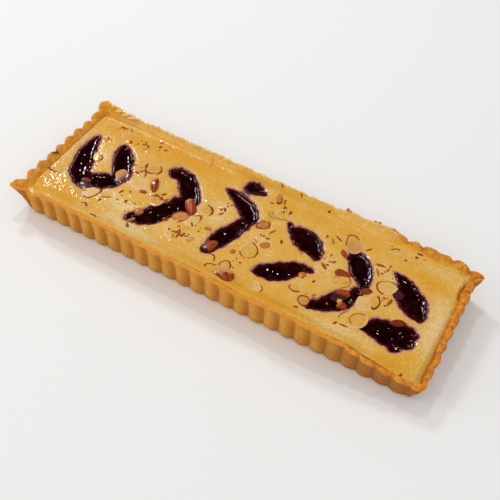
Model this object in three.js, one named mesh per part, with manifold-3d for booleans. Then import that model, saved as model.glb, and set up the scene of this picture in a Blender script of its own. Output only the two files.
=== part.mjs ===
// A plum almond tart: a long shortcrust case from a fluted loose-bottomed tin, baked almond
// custard that fills it to the rim, plum slices sunk in the custard as six chevrons, and
// almonds scattered over the middle.
// Millimetres, +Z up, X along the tart, origin at the middle of the flat base.

import * as THREE from 'three';
import { mergeVertices } from 'three/addons/utils/BufferGeometryUtils.js';
import Module from 'manifold-3d';

const wasm = await Module();
wasm.setup();

// The tin's size over its flutes, and the case pressed into it.
const LENGTH = 355;
const WIDTH = 122;
const BASE_LEAN = 2.8;        // the wall stands this much further in at the base
const CORNER_LEAN = 5;        // and this much at the rounded corners
const CORNER_PINCH = 1.2;     // custard keeps this much more clear of the twisted corner walls
const WALL = 3.2;
const FLOOR = 3;
const GAP = 0.3;              // clearance between neighbours
const FINEST = 0.03;          // facets that stand out less than this are dropped

// Flutes: round lobes that meet in sharp grooves, with a broader lobe at each corner.
const LONG_FLUTES = 26;
const SHORT_FLUTES = 8;
const FLUTE_DEPTH = 2.3;
const INNER_FLUTE_DEPTH = 1.2;
const FACETS = 4;             // facets to a flute
const LONG_CORNER = 11.1;     // how much of a long side a corner lobe takes
const SHORT_CORNER = 11.8;
const FLAT_STRETCH = [-70, 50];   // on the back side the rim is rubbed almost flat here
const FLAT_SHARE = 0.3;           // what is left of the flutes there
const SCALLOP = 2;            // on the left side the rim dips this much at each groove

// Rim height at places along each side, [place, height]. The case slumped at the front
// right corner and stands tallest at the back left one.
const RIM = {
  front: [[-178, 26], [-172, 25], [-165, 21.5], [-150, 27.5], [0, 28], [28, 25.7], [63, 29],
    [111, 27], [131, 23], [153, 19.5], [178, 18.5]],
  right: [[-61, 18.5], [-45, 20], [-10, 24], [40, 26], [61, 25]],
  back: [[-178, 31], [-168, 31.5], [-155, 28.5], [-140, 27], [50, 27], [70, 29], [95, 31],
    [116, 27.5], [140, 30], [154, 30], [165, 28.8], [172, 31], [178, 27.3]],
  left: [[-61, 26], [-53, 25], [-45, 28.3], [-20, 27.5], [40, 27], [50, 28.3], [61, 31]],
};

// How far the corner tip at the end of each side, counter-clockwise, flares past the tin.
const FLARE = { front: [1, -0.5], right: [3.5, 0], back: [-1.5, 1], left: [-5, -4] };

// Custard: its own level, and how high it stands against each wall.
const LEVEL = 23.3;
const EDGE_REACH = 16;        // how far in from a wall the edge's height is felt
const CUSTARD_EDGE = {
  front: [[-165, 20], [-150, 26], [0, 26.8], [28, 24.8], [63, 27.5], [111, 26], [131, 22],
    [153, 18.2], [172, 17]],
  right: [[-55, 17], [-35, 20], [0, 22.4], [55, 22.4]],
  back: [[-165, 15], [-145, 16.5], [-129, 20], [-86, 20.5], [-60, 22.5], [165, 22.6]],
  left: [[-52, 17], [-38, 19.5], [7, 21], [27, 19.5], [43, 20], [55, 16.5]],
};
const CRACK = { x: 173, y: 39.5, width: 6, length: 13, depth: 5 };   // custard shrunk off here

// Plum slices. A station is [x, y, half width] on a slice's middle line.
const PLUM_SUNK = 0.8;        // its widest level is this far under the custard's surface
const PLUM_CROWN = 1.4;
const PLUM_DEPTH = 8;
const PLUM_SIDES = 8;
const PLUM_RINGS = 8;
const PLUM_BLUNTNESS = 0.4;   // 0 gives elliptical ends, 1 square ones
const CHEVRONS = [
  {
    left: [[-158, 26, 2], [-157, 17, 5], [-155, 6.5, 6.5], [-151, -5.5, 8], [-147.5, -17, 8],
      [-141, -25.5, 5.5], [-133.5, -31.5, 2.5]],
    right: [[-133.5, 28.5, 3], [-128.5, 20.5, 7], [-124, 12.5, 8], [-119.5, 5.5, 8],
      [-114.5, -1.5, 7.5], [-109.5, -7.5, 4.5]],
    foot: [[-134.5, -25.5, 8], [-130, -20, 8], [-123, -16, 8], [-117, -12.5, 7], [-111, -8.5, 4]],
  },
  {
    upper: [[-83, 25, 2.5], [-78, 27.5, 5], [-71, 25.5, 6.5], [-64.5, 19.5, 7.5], [-59, 12.5, 8],
      [-53.5, 5, 8], [-48.5, -3.5, 6.5], [-44, -8, 3.5]],
    lower: [[-56.5, -5, 7], [-61.5, -12, 7.5], [-65.5, -19.5, 9], [-70, -27.5, 8.5], [-76, -33.5, 7.5],
      [-82.5, -37.5, 5.5], [-86, -39.5, 3]],
  },
  {
    loose: [[-23.5, 43, 5], [-19, 44, 7], [-14.5, 45, 6], [-10, 44.5, 4], [-5.5, 44.5, 1.5]],
    upper: [[-34.5, 33, 1.5], [-28.5, 30.5, 4.5], [-21, 28, 6], [-13, 24, 7], [-7, 19.5, 7.5],
      [-3, 14, 7.5], [-3, 5, 6.5]],
    lower: [[-3, 5.5, 5], [-6.5, -3, 6.5], [-10, -12.5, 7.5], [-13, -20.5, 6.5], [-14.5, -28.5, 5.5],
      [-16.5, -36, 4]],
  },
  {
    upper: [[26.5, 27, 1.5], [30, 23, 2.5], [34.5, 22, 6.5], [40.5, 19.5, 9.5], [46.5, 17, 11],
      [53, 13.5, 9.5], [58, 9, 7], [60, 3.5, 3.5]],
    lower: [[25, -32.5, 3], [29, -30, 6], [35.5, -27, 8], [41.5, -23, 8.5], [47.5, -17, 7.5],
      [53, -12, 6], [58.5, -9.5, 3.5], [64, -8, 1.5]],
  },
  {
    upper: [[83, 29, 4.5], [89, 22.5, 8], [93.5, 16, 8.5], [97.5, 10, 7.5], [101.5, 3.5, 6],
      [102, -3, 2]],
    lower: [[103.5, -8, 2], [100.5, -12.5, 5], [97, -17.5, 8], [92, -23, 9], [88, -29.5, 6.5],
      [82.5, -34, 5], [76.5, -37.5, 4], [75.5, -41, 1.5]],
  },
  {
    upper: [[118.5, 25.5, 1.5], [124.5, 23, 3.5], [129.5, 20, 5.5], [133.5, 15.5, 8], [136.5, 9.5, 12],
      [142, 4.5, 11.5], [148, -2, 9], [153.5, -6.5, 4.5]],
    lower: [[117.5, -37, 2], [120.5, -34, 6], [126, -31, 9], [133, -30, 10], [140, -30, 13],
      [146, -25.5, 11], [151.5, -24, 9.5], [154.5, -24, 7]],
  },
];

// Almonds, [x, y, length, width, heading in degrees], each laid on what is under it.
const FLAKE_THICKNESS = 1;
const ALMOND_POINTS = 8;
const HALF_HEIGHT = 4.5;
const HALVES = [
  [-49, -1.5, 21, 9, -51],
  [-15.5, -29.5, 17.5, 9.5, 74],
  [8.5, -50, 17.5, 14.5, -10],
  [96.5, -26, 8, 7.5, 36],
  [-86, 2, 17, 7, -62],
];
const FLAKES = [
  [-163, -24.5, 18, 12, 7], [-143.5, 4, 11, 8, -40], [-133, -28.5, 12, 9, 15], [-123, -32.5, 18, 10.5, 58],
  [-111.5, -4.5, 21, 12, -38], [-112.5, -28.5, 12, 7.5, 33], [-120.5, -51, 12, 7, 72], [-97, 17, 15.5, 11.5, 10],
  [-107.5, 11.5, 13, 10.5, 66], [-97, -3, 15.5, 11, 48], [-75, -12, 12, 10, 42], [-50, -15.5, 15, 10.5, 31],
  [-39.5, -14, 17, 9, 61], [-37, 1.5, 15, 11, -10], [-2.5, -48, 12, 9, 36], [4.5, -39.5, 9.5, 8.5, 27],
  [9.5, 12.5, 13, 9, 53], [17.5, 31, 16.5, 12, 34], [7, 45.5, 13, 5.5, -68], [13, -17, 17.5, 14, -80],
  [34.5, -47, 13, 12.5, -60], [59.5, -29.5, 10, 9.3, 18], [70.5, -37.5, 10.5, 9.3, -67], [79, 35, 21, 13, -63],
  [84.5, 2, 13, 7.5, 8], [85.5, -6.5, 18.5, 11.5, 35], [91.5, -17.5, 16.5, 9.5, 59], [107, -3.5, 9.5, 6.5, 34],
  [116, -10, 15, 9, -70], [109.5, -16, 14, 12.5, -50], [119, 8.5, 17, 13.5, 42], [128, 7, 10, 8.5, -40],
  [113, -31.5, 15.5, 12.5, 60], [138.5, -17.5, 13, 5.8, 31], [110.5, 45.5, 10, 6.5, 29],
];
const FLAKE_TILT = THREE.MathUtils.degToRad(3);

const MATERIALS = {
  crust: new THREE.MeshStandardMaterial({ color: '#c98738', roughness: 0.75, metalness: 0 }),
  custard: new THREE.MeshStandardMaterial({ color: '#d9a448', roughness: 0.4, metalness: 0 }),
  plum: new THREE.MeshStandardMaterial({ color: '#26070a', roughness: 0.12, metalness: 0 }),
  almond: new THREE.MeshStandardMaterial({ color: '#d3a868', roughness: 0.5, metalness: 0 }),
  skin: new THREE.MeshStandardMaterial({ color: '#8a4316', roughness: 0.45, metalness: 0 }),
};

const tart = new THREE.Group();

// ---- helpers -------------------------------------------------------------------------------

// Smooth reading between stations [place, value] in rising order, level beyond both ends.
function between(stations, place) {
  const next = stations.findIndex(([end]) => end > place);
  if (next === 0) return stations[0][1];
  if (next < 0) return stations.at(-1)[1];
  const [start, low] = stations[next - 1];
  const [end, high] = stations[next];
  return THREE.MathUtils.lerp(low, high, THREE.MathUtils.smoothstep(place, start, end));
}

// A closed geometry as a solid for cutting: vertices merged, collapsed faces dropped.
function solid(geometry) {
  const bare = new THREE.BufferGeometry();
  bare.setAttribute('position', geometry.attributes.position.clone());
  bare.setIndex(geometry.index ? geometry.index.clone() : null);
  const merged = mergeVertices(bare, 1e-3);
  const faces = [];
  for (let i = 0; i < merged.index.count; i += 3) {
    const corners = [0, 1, 2].map((k) => merged.index.getX(i + k));
    if (new Set(corners).size === 3) faces.push(...corners);
  }
  return new wasm.Manifold(new wasm.Mesh({
    numProp: 3,
    vertProperties: merged.attributes.position.array,
    triVerts: new Uint32Array(faces),
  }));
}

// The main body of a cut piece, without any crumb that the cuts set free or facet too fine
// to matter.
function mainBody(piece) {
  const bodies = piece.decompose();
  const most = bodies.reduce((main, body) => (body.volume() > main.volume() ? body : main));
  return most.simplify(FINEST);
}

function addPiece(name, piece, material, position = new THREE.Vector3()) {
  const { vertProperties, triVerts } = piece.getMesh();
  const geometry = new THREE.BufferGeometry();
  geometry.setAttribute('position', new THREE.BufferAttribute(new Float32Array(vertProperties), 3));
  geometry.setIndex(new THREE.BufferAttribute(new Uint32Array(triVerts), 1));
  geometry.computeVertexNormals();
  const mesh = new THREE.Mesh(geometry, material);
  mesh.name = name;
  mesh.position.copy(position);
  tart.add(mesh);
}

// ---- the fluted outline --------------------------------------------------------------------

const SIDES = [
  { name: 'front', flutes: LONG_FLUTES, span: LENGTH, room: LONG_CORNER, along: [1, 0], out: [0, -1] },
  { name: 'right', flutes: SHORT_FLUTES, span: WIDTH, room: SHORT_CORNER, along: [0, 1], out: [1, 0] },
  { name: 'back', flutes: LONG_FLUTES, span: LENGTH, room: LONG_CORNER, along: [-1, 0], out: [0, 1] },
  { name: 'left', flutes: SHORT_FLUTES, span: WIDTH, room: SHORT_CORNER, along: [0, -1], out: [-1, 0] },
];

// Walks the rim once, counter-clockwise from above. Each sample has its place on the tin's
// rectangle, the way out, how full its lobe is (0 in a groove, 1 on a crown), how deep the
// flutes are at the rim, how far it flares and the rim's height.
function walkRim() {
  const samples = [];
  SIDES.forEach((side, index) => {
    const next = SIDES[(index + 1) % SIDES.length];
    const along = new THREE.Vector2(...side.along);
    const out = new THREE.Vector2(...side.out);
    const middle = out.clone().multiplyScalar(next.span / 2);
    const at = (distance) => middle.clone().addScaledVector(along, distance - side.span / 2);
    const isLong = side.span === LENGTH;
    const rim = (point) => between(RIM[side.name], isLong ? point.x : point.y);
    const none = new THREE.Vector2();
    const pitch = (side.span - 2 * side.room) / side.flutes;
    for (let i = 0; i < side.flutes * FACETS; i++) {
      const point = at(side.room + (i / FACETS) * pitch);
      const rubbed = side.name === 'back' && point.x > FLAT_STRETCH[0] && point.x < FLAT_STRETCH[1];
      const lobe = Math.sin((Math.PI * (i % FACETS)) / FACETS);
      const height = rim(point) - (side.name === 'left' ? SCALLOP * (1 - lobe) : 0);
      samples.push({ point, out, lobe, rubbed, flare: none, lean: BASE_LEAN, height });
    }
    const turn = new THREE.Vector2(...next.out);
    const onward = new THREE.Vector2(...next.along);
    const flare = new THREE.Vector2(...FLARE[side.name]);
    const corner = at(side.span);
    const height = rim(corner);
    const groove = at(side.span - side.room);
    samples.push({ point: groove, out, lobe: 0, flare: none, lean: BASE_LEAN, height: rim(groove) });
    // Half way to the tip, the tip, half way past it.
    [-0.5, 0, 0.5].forEach((step) => {
      const point = corner.clone();
      point.addScaledVector(along, Math.min(step, 0) * side.room);
      point.addScaledVector(onward, Math.max(step, 0) * next.room);
      const way = out.clone().multiplyScalar(1 - Math.max(step, 0));
      way.addScaledVector(turn, 1 + Math.min(step, 0));
      const flared = flare.clone().multiplyScalar(1 - Math.abs(step));
      samples.push({ point, out: way, lobe: 1, flare: flared, lean: CORNER_LEAN, height });
    });
  });
  return samples;
}

// A sample's point, inset from the tin by some thickness, at height z.
function pointOn(sample, inset, z, depth, flared) {
  const up = Math.min(z / sample.height, 1);
  const left = sample.rubbed ? THREE.MathUtils.lerp(1, FLAT_SHARE, up) : 1;
  const lean = sample.lean * (1 - up);
  const flute = depth * left * (1 - sample.lobe);
  const place = sample.point.clone().addScaledVector(sample.out, -(inset + lean + flute));
  if (flared) place.addScaledVector(sample.flare, up);
  return new THREE.Vector3(place.x, place.y, z);
}

// The nearest point to a sample on the plain rectangle that lies this far inside the tin.
// Half the tart's width inside, the rectangle is the ridge along its middle.
function pointInside(sample, inside) {
  const nearest = (value, span) => {
    const reach = span / 2 - inside;
    return Number(THREE.MathUtils.clamp(value, -reach, reach).toFixed(2));
  };
  return new THREE.Vector2(nearest(sample.point.x, LENGTH), nearest(sample.point.y, WIDTH));
}

// A turned body whose rounds are pushed out to the tart's outline: place(sample, row) gives
// the point of each row, from the underside's middle out, up and back in to the top's middle.
function ringBody(samples, rows, place) {
  const profile = rows.map((row, index) => new THREE.Vector2(index % (rows.length - 1) ? 1 : 0, index));
  const geometry = new THREE.LatheGeometry(profile, samples.length);
  const position = geometry.attributes.position;
  for (let v = 0; v < position.count; v++) {
    const sample = samples[Math.floor(v / rows.length) % samples.length];
    const { x, y, z } = place(sample, rows[v % rows.length]);
    position.setXYZ(v, x, y, z);
  }
  return solid(geometry);
}

// ---- pastry case ---------------------------------------------------------------------------

const samples = walkRim();

const CASE_ROWS = [
  { inside: WIDTH / 2, z: 0 },
  { inset: 0, z: 0, flute: FLUTE_DEPTH },
  { inset: 0, below: 1.8, flute: FLUTE_DEPTH },
  { inset: 1.5, below: 0, flute: FLUTE_DEPTH * 0.8 },
  { inset: WALL, below: 1.4, flute: INNER_FLUTE_DEPTH },
  { inset: WALL, z: FLOOR, flute: INNER_FLUTE_DEPTH },
  { inside: WIDTH / 2, z: FLOOR },
];

function pastryCase() {
  return ringBody(samples, CASE_ROWS, (sample, row) => {
    const z = row.z ?? sample.height - row.below;
    if (row.inside) return new THREE.Vector3(...pointInside(sample, row.inside), z);
    return pointOn(sample, row.inset, z, row.flute, true);
  });
}

// ---- custard -------------------------------------------------------------------------------

function custardTop(x, y) {
  const edges = [
    [WIDTH / 2 + y, between(CUSTARD_EDGE.front, x)],
    [WIDTH / 2 - y, between(CUSTARD_EDGE.back, x)],
    [LENGTH / 2 + x, between(CUSTARD_EDGE.left, y)],
    [LENGTH / 2 - x, between(CUSTARD_EDGE.right, y)],
  ];
  let total = 0;
  let shift = 0;
  edges.forEach(([distance, height]) => {
    const weight = 1 - THREE.MathUtils.smoothstep(distance, WALL, WALL + EDGE_REACH);
    total += weight;
    shift += weight * (height - LEVEL);
  });
  return LEVEL + shift / Math.max(1, total);
}

const underside = () => FLOOR + GAP;
const CUSTARD_ROWS = [
  { inside: WIDTH / 2, z: underside },
  { z: underside },
  { z: custardTop },
  { inside: WALL + EDGE_REACH * 0.7, z: custardTop },
  { inside: WIDTH / 2, z: custardTop },
];

// Away from the corners every other sample is enough: the chords between crowns and grooves
// stay inside the case.
function custardBlock() {
  const coarse = samples.filter((sample, index) => index % 2 === 0 || sample.lean === CORNER_LEAN);
  return ringBody(coarse, CUSTARD_ROWS, (sample, row) => {
    if (row.inside) {
      const { x, y } = pointInside(sample, row.inside);
      return new THREE.Vector3(x, y, row.z(x, y));
    }
    const cornerwards = Math.abs(sample.point.x) + Math.abs(sample.point.y) - (LENGTH + WIDTH) / 2;
    const pinch = cornerwards > -LONG_CORNER - 1 ? CORNER_PINCH : 0;
    const inset = WALL + GAP + pinch;
    const edge = pointOn(sample, inset, LEVEL, INNER_FLUTE_DEPTH, false);
    const z = row.z(edge.x, edge.y);
    return pointOn(sample, inset, z, INNER_FLUTE_DEPTH, false);
  });
}

// ---- plum slices ---------------------------------------------------------------------------

// A ball drawn out along the slice's middle line: full below, low and domed above.
function plumSlice(stations, grow, crown) {
  const line = new THREE.CatmullRomCurve3(stations.map((station) => new THREE.Vector3(...station)));
  const geometry = new THREE.SphereGeometry(1, PLUM_SIDES, PLUM_RINGS);
  const position = geometry.attributes.position;
  for (let v = 0; v < position.count; v++) {
    const along = position.getY(v);
    const round = Math.hypot(position.getX(v), position.getZ(v));
    const fuller = Math.max(round, 1e-3) ** -PLUM_BLUNTNESS;
    const side = position.getX(v) * fuller;
    const up = position.getZ(v) * fuller;
    const at = line.getPoint((along + 1) / 2);
    const ahead = line.getTangent((along + 1) / 2).setZ(0).normalize();
    const across = new THREE.Vector3(ahead.y, -ahead.x, 0);
    const level = custardTop(at.x, at.y) - PLUM_SUNK;
    const halfWidth = at.z + grow;
    at.setZ(level + up * ((up > 0 ? crown : PLUM_DEPTH) + grow));
    at.addScaledVector(ahead, grow * along).addScaledVector(across, side * halfWidth);
    position.setXYZ(v, at.x, at.y, at.z);
  }
  return solid(geometry);
}

// ---- almonds -------------------------------------------------------------------------------

// Narrows a round outline towards one end, as an almond does.
const almondWidth = (turn) => Math.sin(turn) * (1 - 0.22 * Math.cos(turn));

function almondFlake(length, width) {
  const points = [];
  for (let i = 0; i < ALMOND_POINTS; i++) {
    const turn = (2 * Math.PI * i) / ALMOND_POINTS;
    points.push(new THREE.Vector2((length / 2) * Math.cos(turn), (width / 2) * almondWidth(turn)));
  }
  return new THREE.ExtrudeGeometry(new THREE.Shape(points), { depth: FLAKE_THICKNESS, bevelEnabled: false });
}

function almondHalf(length, width) {
  const profile = [[0, 0], [0.92, 0], [1, 0.25], [0.8, 0.7], [0.42, 0.95], [0, 1]];
  const geometry = new THREE.LatheGeometry(profile.map(([r, h]) => new THREE.Vector2(r, h)), ALMOND_POINTS);
  geometry.rotateX(Math.PI / 2);
  const position = geometry.attributes.position;
  for (let v = 0; v < position.count; v++) {
    const [x, y] = [position.getX(v), position.getY(v)];
    position.setXYZ(v, (x * length) / 2, (y * (1 - 0.22 * x) * width) / 2, position.getZ(v) * HALF_HEIGHT);
  }
  return geometry;
}

// Lowers a piece in small steps until GAP is all that is left above what lies beneath.
function restingHeight(piece, x, y, beneath) {
  const step = 0.2;
  let z = custardTop(x, y) + 12;
  while (piece.translate(x, y, z - step - GAP).intersect(beneath).isEmpty()) z -= step;
  return z;
}

// ---- the whole -----------------------------------------------------------------------------

const pastry = pastryCase();
let custard = custardBlock();

// Each slice presses its own hollow into the custard and into the slices laid after it.
const plums = [];
CHEVRONS.forEach((chevron, index) => {
  Object.entries(chevron).forEach(([part, stations]) => {
    let slice = plumSlice(stations, 0, PLUM_CROWN);
    plums.forEach((earlier) => {
      slice = slice.subtract(earlier.hollow);
    });
    const hollow = plumSlice(stations, GAP, PLUM_DEPTH);
    custard = custard.subtract(hollow);
    plums.push({ name: `plum_${index + 1}_${part}`, slice: mainBody(slice), hollow });
  });
});
const crack = new THREE.SphereGeometry(1, 8, 6);
crack.scale(CRACK.width / 2, CRACK.length / 2, CRACK.depth);
crack.translate(CRACK.x, CRACK.y, custardTop(CRACK.x, CRACK.y));
custard = mainBody(custard.subtract(solid(crack)));

addPiece('pastry_case', pastry, MATERIALS.crust);
addPiece('custard', custard, MATERIALS.custard);
let under = pastry.add(custard);
plums.forEach(({ name, slice }) => {
  addPiece(name, slice, MATERIALS.plum);
  under = under.add(slice);
});

function layAlmond(name, geometry, [x, y, , , heading], tilt, material) {
  geometry.rotateX(tilt);
  geometry.rotateZ(THREE.MathUtils.degToRad(heading));
  const piece = solid(geometry);
  const z = restingHeight(piece, x, y, under);
  addPiece(name, piece, material, new THREE.Vector3(x, y, z));
  under = under.add(piece.translate(x, y, z));
}

HALVES.forEach((almond, index) => {
  const geometry = almondHalf(almond[2], almond[3]);
  layAlmond(`almond_half_${index + 1}`, geometry, almond, 0, MATERIALS.skin);
});
FLAKES.forEach((almond, index) => {
  const geometry = almondFlake(almond[2], almond[3]);
  const tilt = FLAKE_TILT * (index % 2 ? 1 : -1);
  layAlmond(`almond_flake_${index + 1}`, geometry, almond, tilt, MATERIALS.almond);
});

export default tart;
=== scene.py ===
"""A long plum almond tart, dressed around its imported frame.

Shapes are worked out in millimetres and turned to metres when a piece is finished.
"""

import math
import random
from collections import namedtuple

import bmesh
import bpy
from mathutils import Matrix, Vector, noise
from mathutils.bvhtree import BVHTree


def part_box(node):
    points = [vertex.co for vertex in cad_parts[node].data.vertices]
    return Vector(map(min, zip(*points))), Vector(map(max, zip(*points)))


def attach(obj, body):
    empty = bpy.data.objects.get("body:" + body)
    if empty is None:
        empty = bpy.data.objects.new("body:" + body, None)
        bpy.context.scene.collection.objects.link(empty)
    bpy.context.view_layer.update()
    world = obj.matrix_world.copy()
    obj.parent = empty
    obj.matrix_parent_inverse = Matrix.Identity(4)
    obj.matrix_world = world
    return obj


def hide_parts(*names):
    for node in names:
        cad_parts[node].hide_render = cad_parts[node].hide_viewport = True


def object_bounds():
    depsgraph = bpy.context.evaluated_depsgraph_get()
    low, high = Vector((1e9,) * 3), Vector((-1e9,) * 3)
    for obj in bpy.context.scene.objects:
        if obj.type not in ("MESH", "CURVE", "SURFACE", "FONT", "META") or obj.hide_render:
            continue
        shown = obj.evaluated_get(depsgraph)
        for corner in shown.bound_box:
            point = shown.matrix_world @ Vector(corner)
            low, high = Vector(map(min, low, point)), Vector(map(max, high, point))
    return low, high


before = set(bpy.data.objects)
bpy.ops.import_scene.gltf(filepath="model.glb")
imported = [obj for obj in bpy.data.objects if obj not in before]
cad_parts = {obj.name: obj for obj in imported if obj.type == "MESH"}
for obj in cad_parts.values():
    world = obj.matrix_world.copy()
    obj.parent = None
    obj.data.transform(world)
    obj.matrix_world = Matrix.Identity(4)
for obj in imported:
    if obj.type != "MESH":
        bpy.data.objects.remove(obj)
cad_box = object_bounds()

MM = 0.001
SAME_POINT = 0.01  # points closer than this are one
UP = Vector((0, 0, 1))

# ---- camera ----

CAMERA_TURN = math.radians(23.33)  # from straight in front, towards the right
CAMERA_RISE = math.radians(48.87)
CAMERA_ROLL = math.radians(7.56)
CAMERA_AWAY = 668.5
CAMERA_SLIDE = (5.9, -0.6)  # sideways and upwards, in its own plane
CAMERA_LENS = 59.55


def put(name, data):
    """A new object in the scene."""
    thing = bpy.data.objects.new(name, data)
    bpy.context.scene.collection.objects.link(thing)
    return thing


axes = Matrix.Rotation(CAMERA_TURN, 3, "Z") @ Matrix.Rotation(math.pi / 2 - CAMERA_RISE, 3, "X")
axes @= Matrix.Rotation(CAMERA_ROLL, 3, "Z")
camera = put("camera", bpy.data.cameras.new("camera"))
place = axes @ Vector((*CAMERA_SLIDE, CAMERA_AWAY))
camera.matrix_world = Matrix.Translation(place * MM) @ axes.to_4x4()
camera.data.lens = CAMERA_LENS
camera.data.sensor_width = 36
camera.data.clip_start = 0.01
bpy.context.scene.camera = camera

# ---- the tin's outline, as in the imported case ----

LENGTH, WIDTH = 355, 122
FLOOR = 3
LONG_FLUTES, SHORT_FLUTES = 26, 8
LONG_CORNER, SHORT_CORNER = 11.1, 11.8
FACETS = 14  # to a flute
CORNER_FACETS = 22
BASE_LEAN = {"front": 1.9, "right": 4.8, "back": 2.8, "left": 2.8}
CORNER_LEAN = 5
FLAT_STRETCH = (-70, 50)  # of the back wall, where the flutes fade upwards
FLAT_SHARE = 0.7  # of their depth that they lose

# A side's tables go by x on the long sides and by y on the short ones.
RIM = {
    "front": [(-178, 26), (-172, 25), (-165, 21.5), (-150, 27.5), (0, 28), (28, 25.7), (63, 29),
              (111, 27), (131, 23), (153, 19.5), (178, 18.5)],
    "right": [(-61, 18.5), (-45, 20), (-10, 24), (40, 26), (61, 25)],
    "back": [(-178, 31), (-168, 31.2), (-155, 28.5), (-140, 27), (50, 27), (70, 29), (95, 30.6),
             (116, 27.5), (140, 30), (154, 30), (165, 28.8), (172, 31), (178, 27.3)],
    "left": [(-61, 26), (-53, 25), (-45, 28.3), (-20, 27.5), (40, 27), (50, 28.3), (61, 31)],
}
THICK = {
    "front": [(90, 3), (118, 4.2), (178, 4.6)],
    "right": [(-61, 4.6), (-40, 5.4), (61, 5.2)],
    "back": [(-178, 4), (-150, 3.3), (100, 3.3), (130, 4.2), (178, 4.6)],
    "left": [(-61, 3.8), (-40, 5), (61, 5.2)],
}
RIM_FLUTE = {  # share of the flutes left at the rim
    "front": [(90, 0.12), (118, 0.85)], "right": [(0, 0.85)],
    "back": [(-145, 0.8), (-125, 0.2), (100, 0.25), (120, 0.8)], "left": [(0, 1.1)],
}
SCALLOP = {  # how far the rim dips at a groove
    "front": [(90, 0.1), (115, 0.5)], "right": [(0, 1.0)],
    "back": [(-145, 0.9), (-125, 0.15), (105, 0.15), (122, 1.0)], "left": [(0, 2.5)],
}
UNEVEN = {  # how much its lobes differ
    "front": [(100, 0.1), (120, 0.5)], "right": [(0, 0.6)],
    "back": [(-140, 0.6), (-120, 0.15), (100, 0.25), (118, 0.9)], "left": [(0, 0.6)],
}
OUTER_FLUTE = {"front": 2.7, "right": 2.3, "back": 2.3, "left": 2.6}
INNER_FLUTE = {"front": 0.3, "right": 1.1, "back": 0.6, "left": 2.0}
FLARE = {"front": (1, -0.5), "right": (10, 5.3), "back": (-4.8, 4.2), "left": (-12.7, -11.7)}
BLUNT = {"front": 3.5, "right": 6.5, "back": 6, "left": 9.5}  # how far a corner tip is rounded
SLIP = 2.2  # how far the front flutes stand left of an even spacing
SWELL = 0.3  # how much one flute stands out more than another
LOBE_FULLNESS = 0.7  # below 1 a lobe is fuller than a half wave
TIP_FULLNESS = 2.2  # how soon the fold next to a corner opens out

SIDES = [
    ("front", LONG_FLUTES, LENGTH, LONG_CORNER, Vector((1, 0)), Vector((0, -1))),
    ("right", SHORT_FLUTES, WIDTH, SHORT_CORNER, Vector((0, 1)), Vector((1, 0))),
    ("back", LONG_FLUTES, LENGTH, LONG_CORNER, Vector((-1, 0)), Vector((0, 1))),
    ("left", SHORT_FLUTES, WIDTH, SHORT_CORNER, Vector((0, -1)), Vector((-1, 0))),
]

# A sample's flank share is how far it lies on the side of its lobe turned from the light, where
# shade is painted.
Sample = namedtuple("Sample", "point out side lobe flank flare lean height swell thick")


def clamp(value, low=0, high=1):
    """The value, kept between low and high."""
    return min(max(value, low), high)


def smooth(x, low, high):
    """0 at low and 1 at high, eased in between."""
    share = clamp((x - low) / (high - low))
    return share * share * (3 - 2 * share)


def between(stations, at):
    """Smooth reading between stations (place, value) in rising order."""
    if at <= stations[0][0]:
        return stations[0][1]
    for (start, low), (end, high) in zip(stations, stations[1:]):
        if at < end:
            return low + (high - low) * smooth(at, start, end)
    return stations[-1][1]


def wavy(point, size, seed=0):
    """Smooth noise from -1 to 1 whose waves are about this many millimetres across."""
    return noise.noise(Vector(point) / size + Vector((seed * 17.3, seed * 5.1, seed * 3.7)))


def walk_rim():
    """Once round the rim, counter-clockwise from above, each flute a little different."""
    rng = random.Random(4)
    samples = []
    for index, (name, flutes, span, room, along, out) in enumerate(SIDES):
        next_name, _, next_span, next_room, onward, turn = SIDES[(index + 1) % 4]
        middle = out * (next_span / 2)

        def at(distance):
            return middle + along * (distance - span / 2)

        def read(table, point, side=name):
            return between(table[side], point.x if side in ("front", "back") else point.y)

        pitch = (span - 2 * room) / flutes
        for flute in range(flutes):
            swell = rng.uniform(-SWELL, SWELL)
            taller = rng.uniform(-1, 1)
            for facet in range(FACETS):
                share = facet / FACETS
                lobe = math.sin(math.pi * share) ** LOBE_FULLNESS
                point = at(room + (flute + share) * pitch)
                height = read(RIM, point) - read(SCALLOP, point) * (1 - lobe)
                height += read(UNEVEN, point) * (taller * lobe + wavy((*point, 0), 4, 15))
                thick = read(THICK, point)
                if name == "front":
                    point.x -= SLIP * smooth(point.x, -172, -60) * (1 - smooth(point.x, 160, 175))
                samples.append(Sample(
                    point, out, name, lobe, smooth(share, 0.3, 0.95), Vector((0, 0)),
                    BASE_LEAN[name], height, swell * lobe, thick,
                ))
        corner = at(span)
        low = read(SCALLOP, at(span - room))
        for facet in range(CORNER_FACETS):
            step = 2 * facet / CORNER_FACETS - 1
            tip = 1 - abs(step)
            lobe = math.sin(math.pi / 2 * min(1, TIP_FULLNESS * tip))
            way = out * (1 - max(step, 0)) + turn * (1 + min(step, 0))
            point = corner + along * (min(step, 0) * room) + onward * (max(step, 0) * next_room)
            point -= way * BLUNT[name] * tip * tip
            side_lean = BASE_LEAN[name if step < 0 else next_name]
            lean = side_lean + (CORNER_LEAN - side_lean) * smooth(tip, 0, 0.6)
            start = read(RIM, at(span - room)) - low
            height = read(RIM, corner) + (start - read(RIM, corner)) * (1 - smooth(tip, 0, 0.35))
            thick = (1 - step) / 2 * read(THICK, corner)
            thick += (1 + step) / 2 * read(THICK, corner, next_name)
            flare = Vector(FLARE[name]) * tip
            samples.append(Sample(point, way, name, lobe, 0.4, flare, lean, height, 0, thick))
    return samples


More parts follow.
